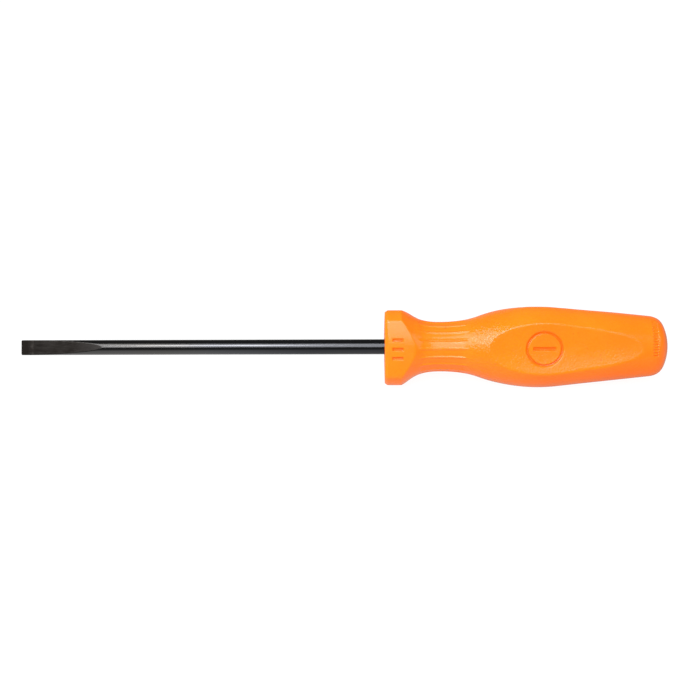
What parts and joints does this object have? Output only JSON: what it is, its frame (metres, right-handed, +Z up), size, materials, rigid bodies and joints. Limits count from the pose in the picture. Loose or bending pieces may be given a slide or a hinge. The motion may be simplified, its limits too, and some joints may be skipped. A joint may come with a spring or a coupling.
{
  "type": "screwdriver",
  "caption": "Slotted screwdriver with a black round shank and a three-sided orange handle, with a flat-sided collar, fluted neck and long side panels.",
  "frame": {"origin": "on the surface that the tool lies on, under the middle of its overall box", "axes": "+X along the tool from the blade tip to the butt, +Z up with one long handle panel facing down, -Y the side of the front panel"},
  "size_m": [0.2712, 0.0342, 0.0314],
  "materials": {
    "blade_steel": "black oxide, semi-gloss",
    "core_plastic": "as moulded",
    "grip_plastic": "fine spark-eroded texture, satin"
  },
  "bodies": {
    "root": {"blade": "blade_steel", "handle_core": "core_plastic", "handle_grip": "grip_plastic"}
  },
  "joints": []
}
